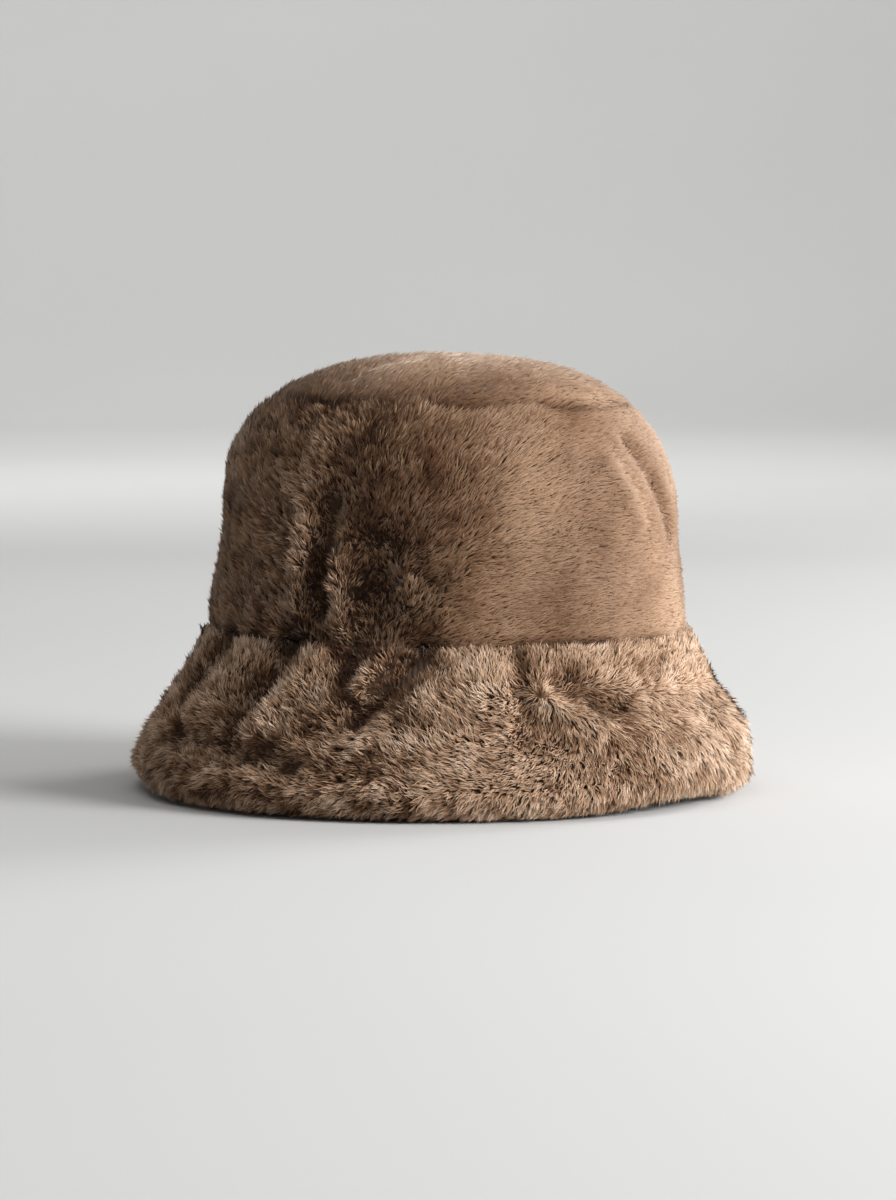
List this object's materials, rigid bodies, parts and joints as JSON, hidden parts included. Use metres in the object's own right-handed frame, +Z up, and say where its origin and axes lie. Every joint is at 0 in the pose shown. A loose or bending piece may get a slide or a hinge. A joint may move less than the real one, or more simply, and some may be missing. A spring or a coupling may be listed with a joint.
{
  "type": "faux-fur cloche hat",
  "caption": "Soft fur hat with a rounded crown and a flared, turned-down brim that ends in a fat rolled rim, worn on the head.",
  "frame": {"origin": "middle of the hat's outline, on the surface that the brim's rim rests on", "axes": "+Z up through the crown, -Y towards the front of the hat, +X towards the wearer's left side"},
  "size_m": [0.2675, 0.2753, 0.19],
  "materials": {
    "fur_tip": "short brushed fur pile, matt",
    "fur_side": "short brushed fur pile, matt",
    "fur_brim": "long fluffy fur pile, matt",
    "fur_under": "long fluffy fur pile, matt"
  },
  "bodies": {
    "root": {"crown_tip": "fur_tip", "crown_side": "fur_side", "brim_top": "fur_brim", "brim_under": "fur_under"}
  },
  "joints": []
}
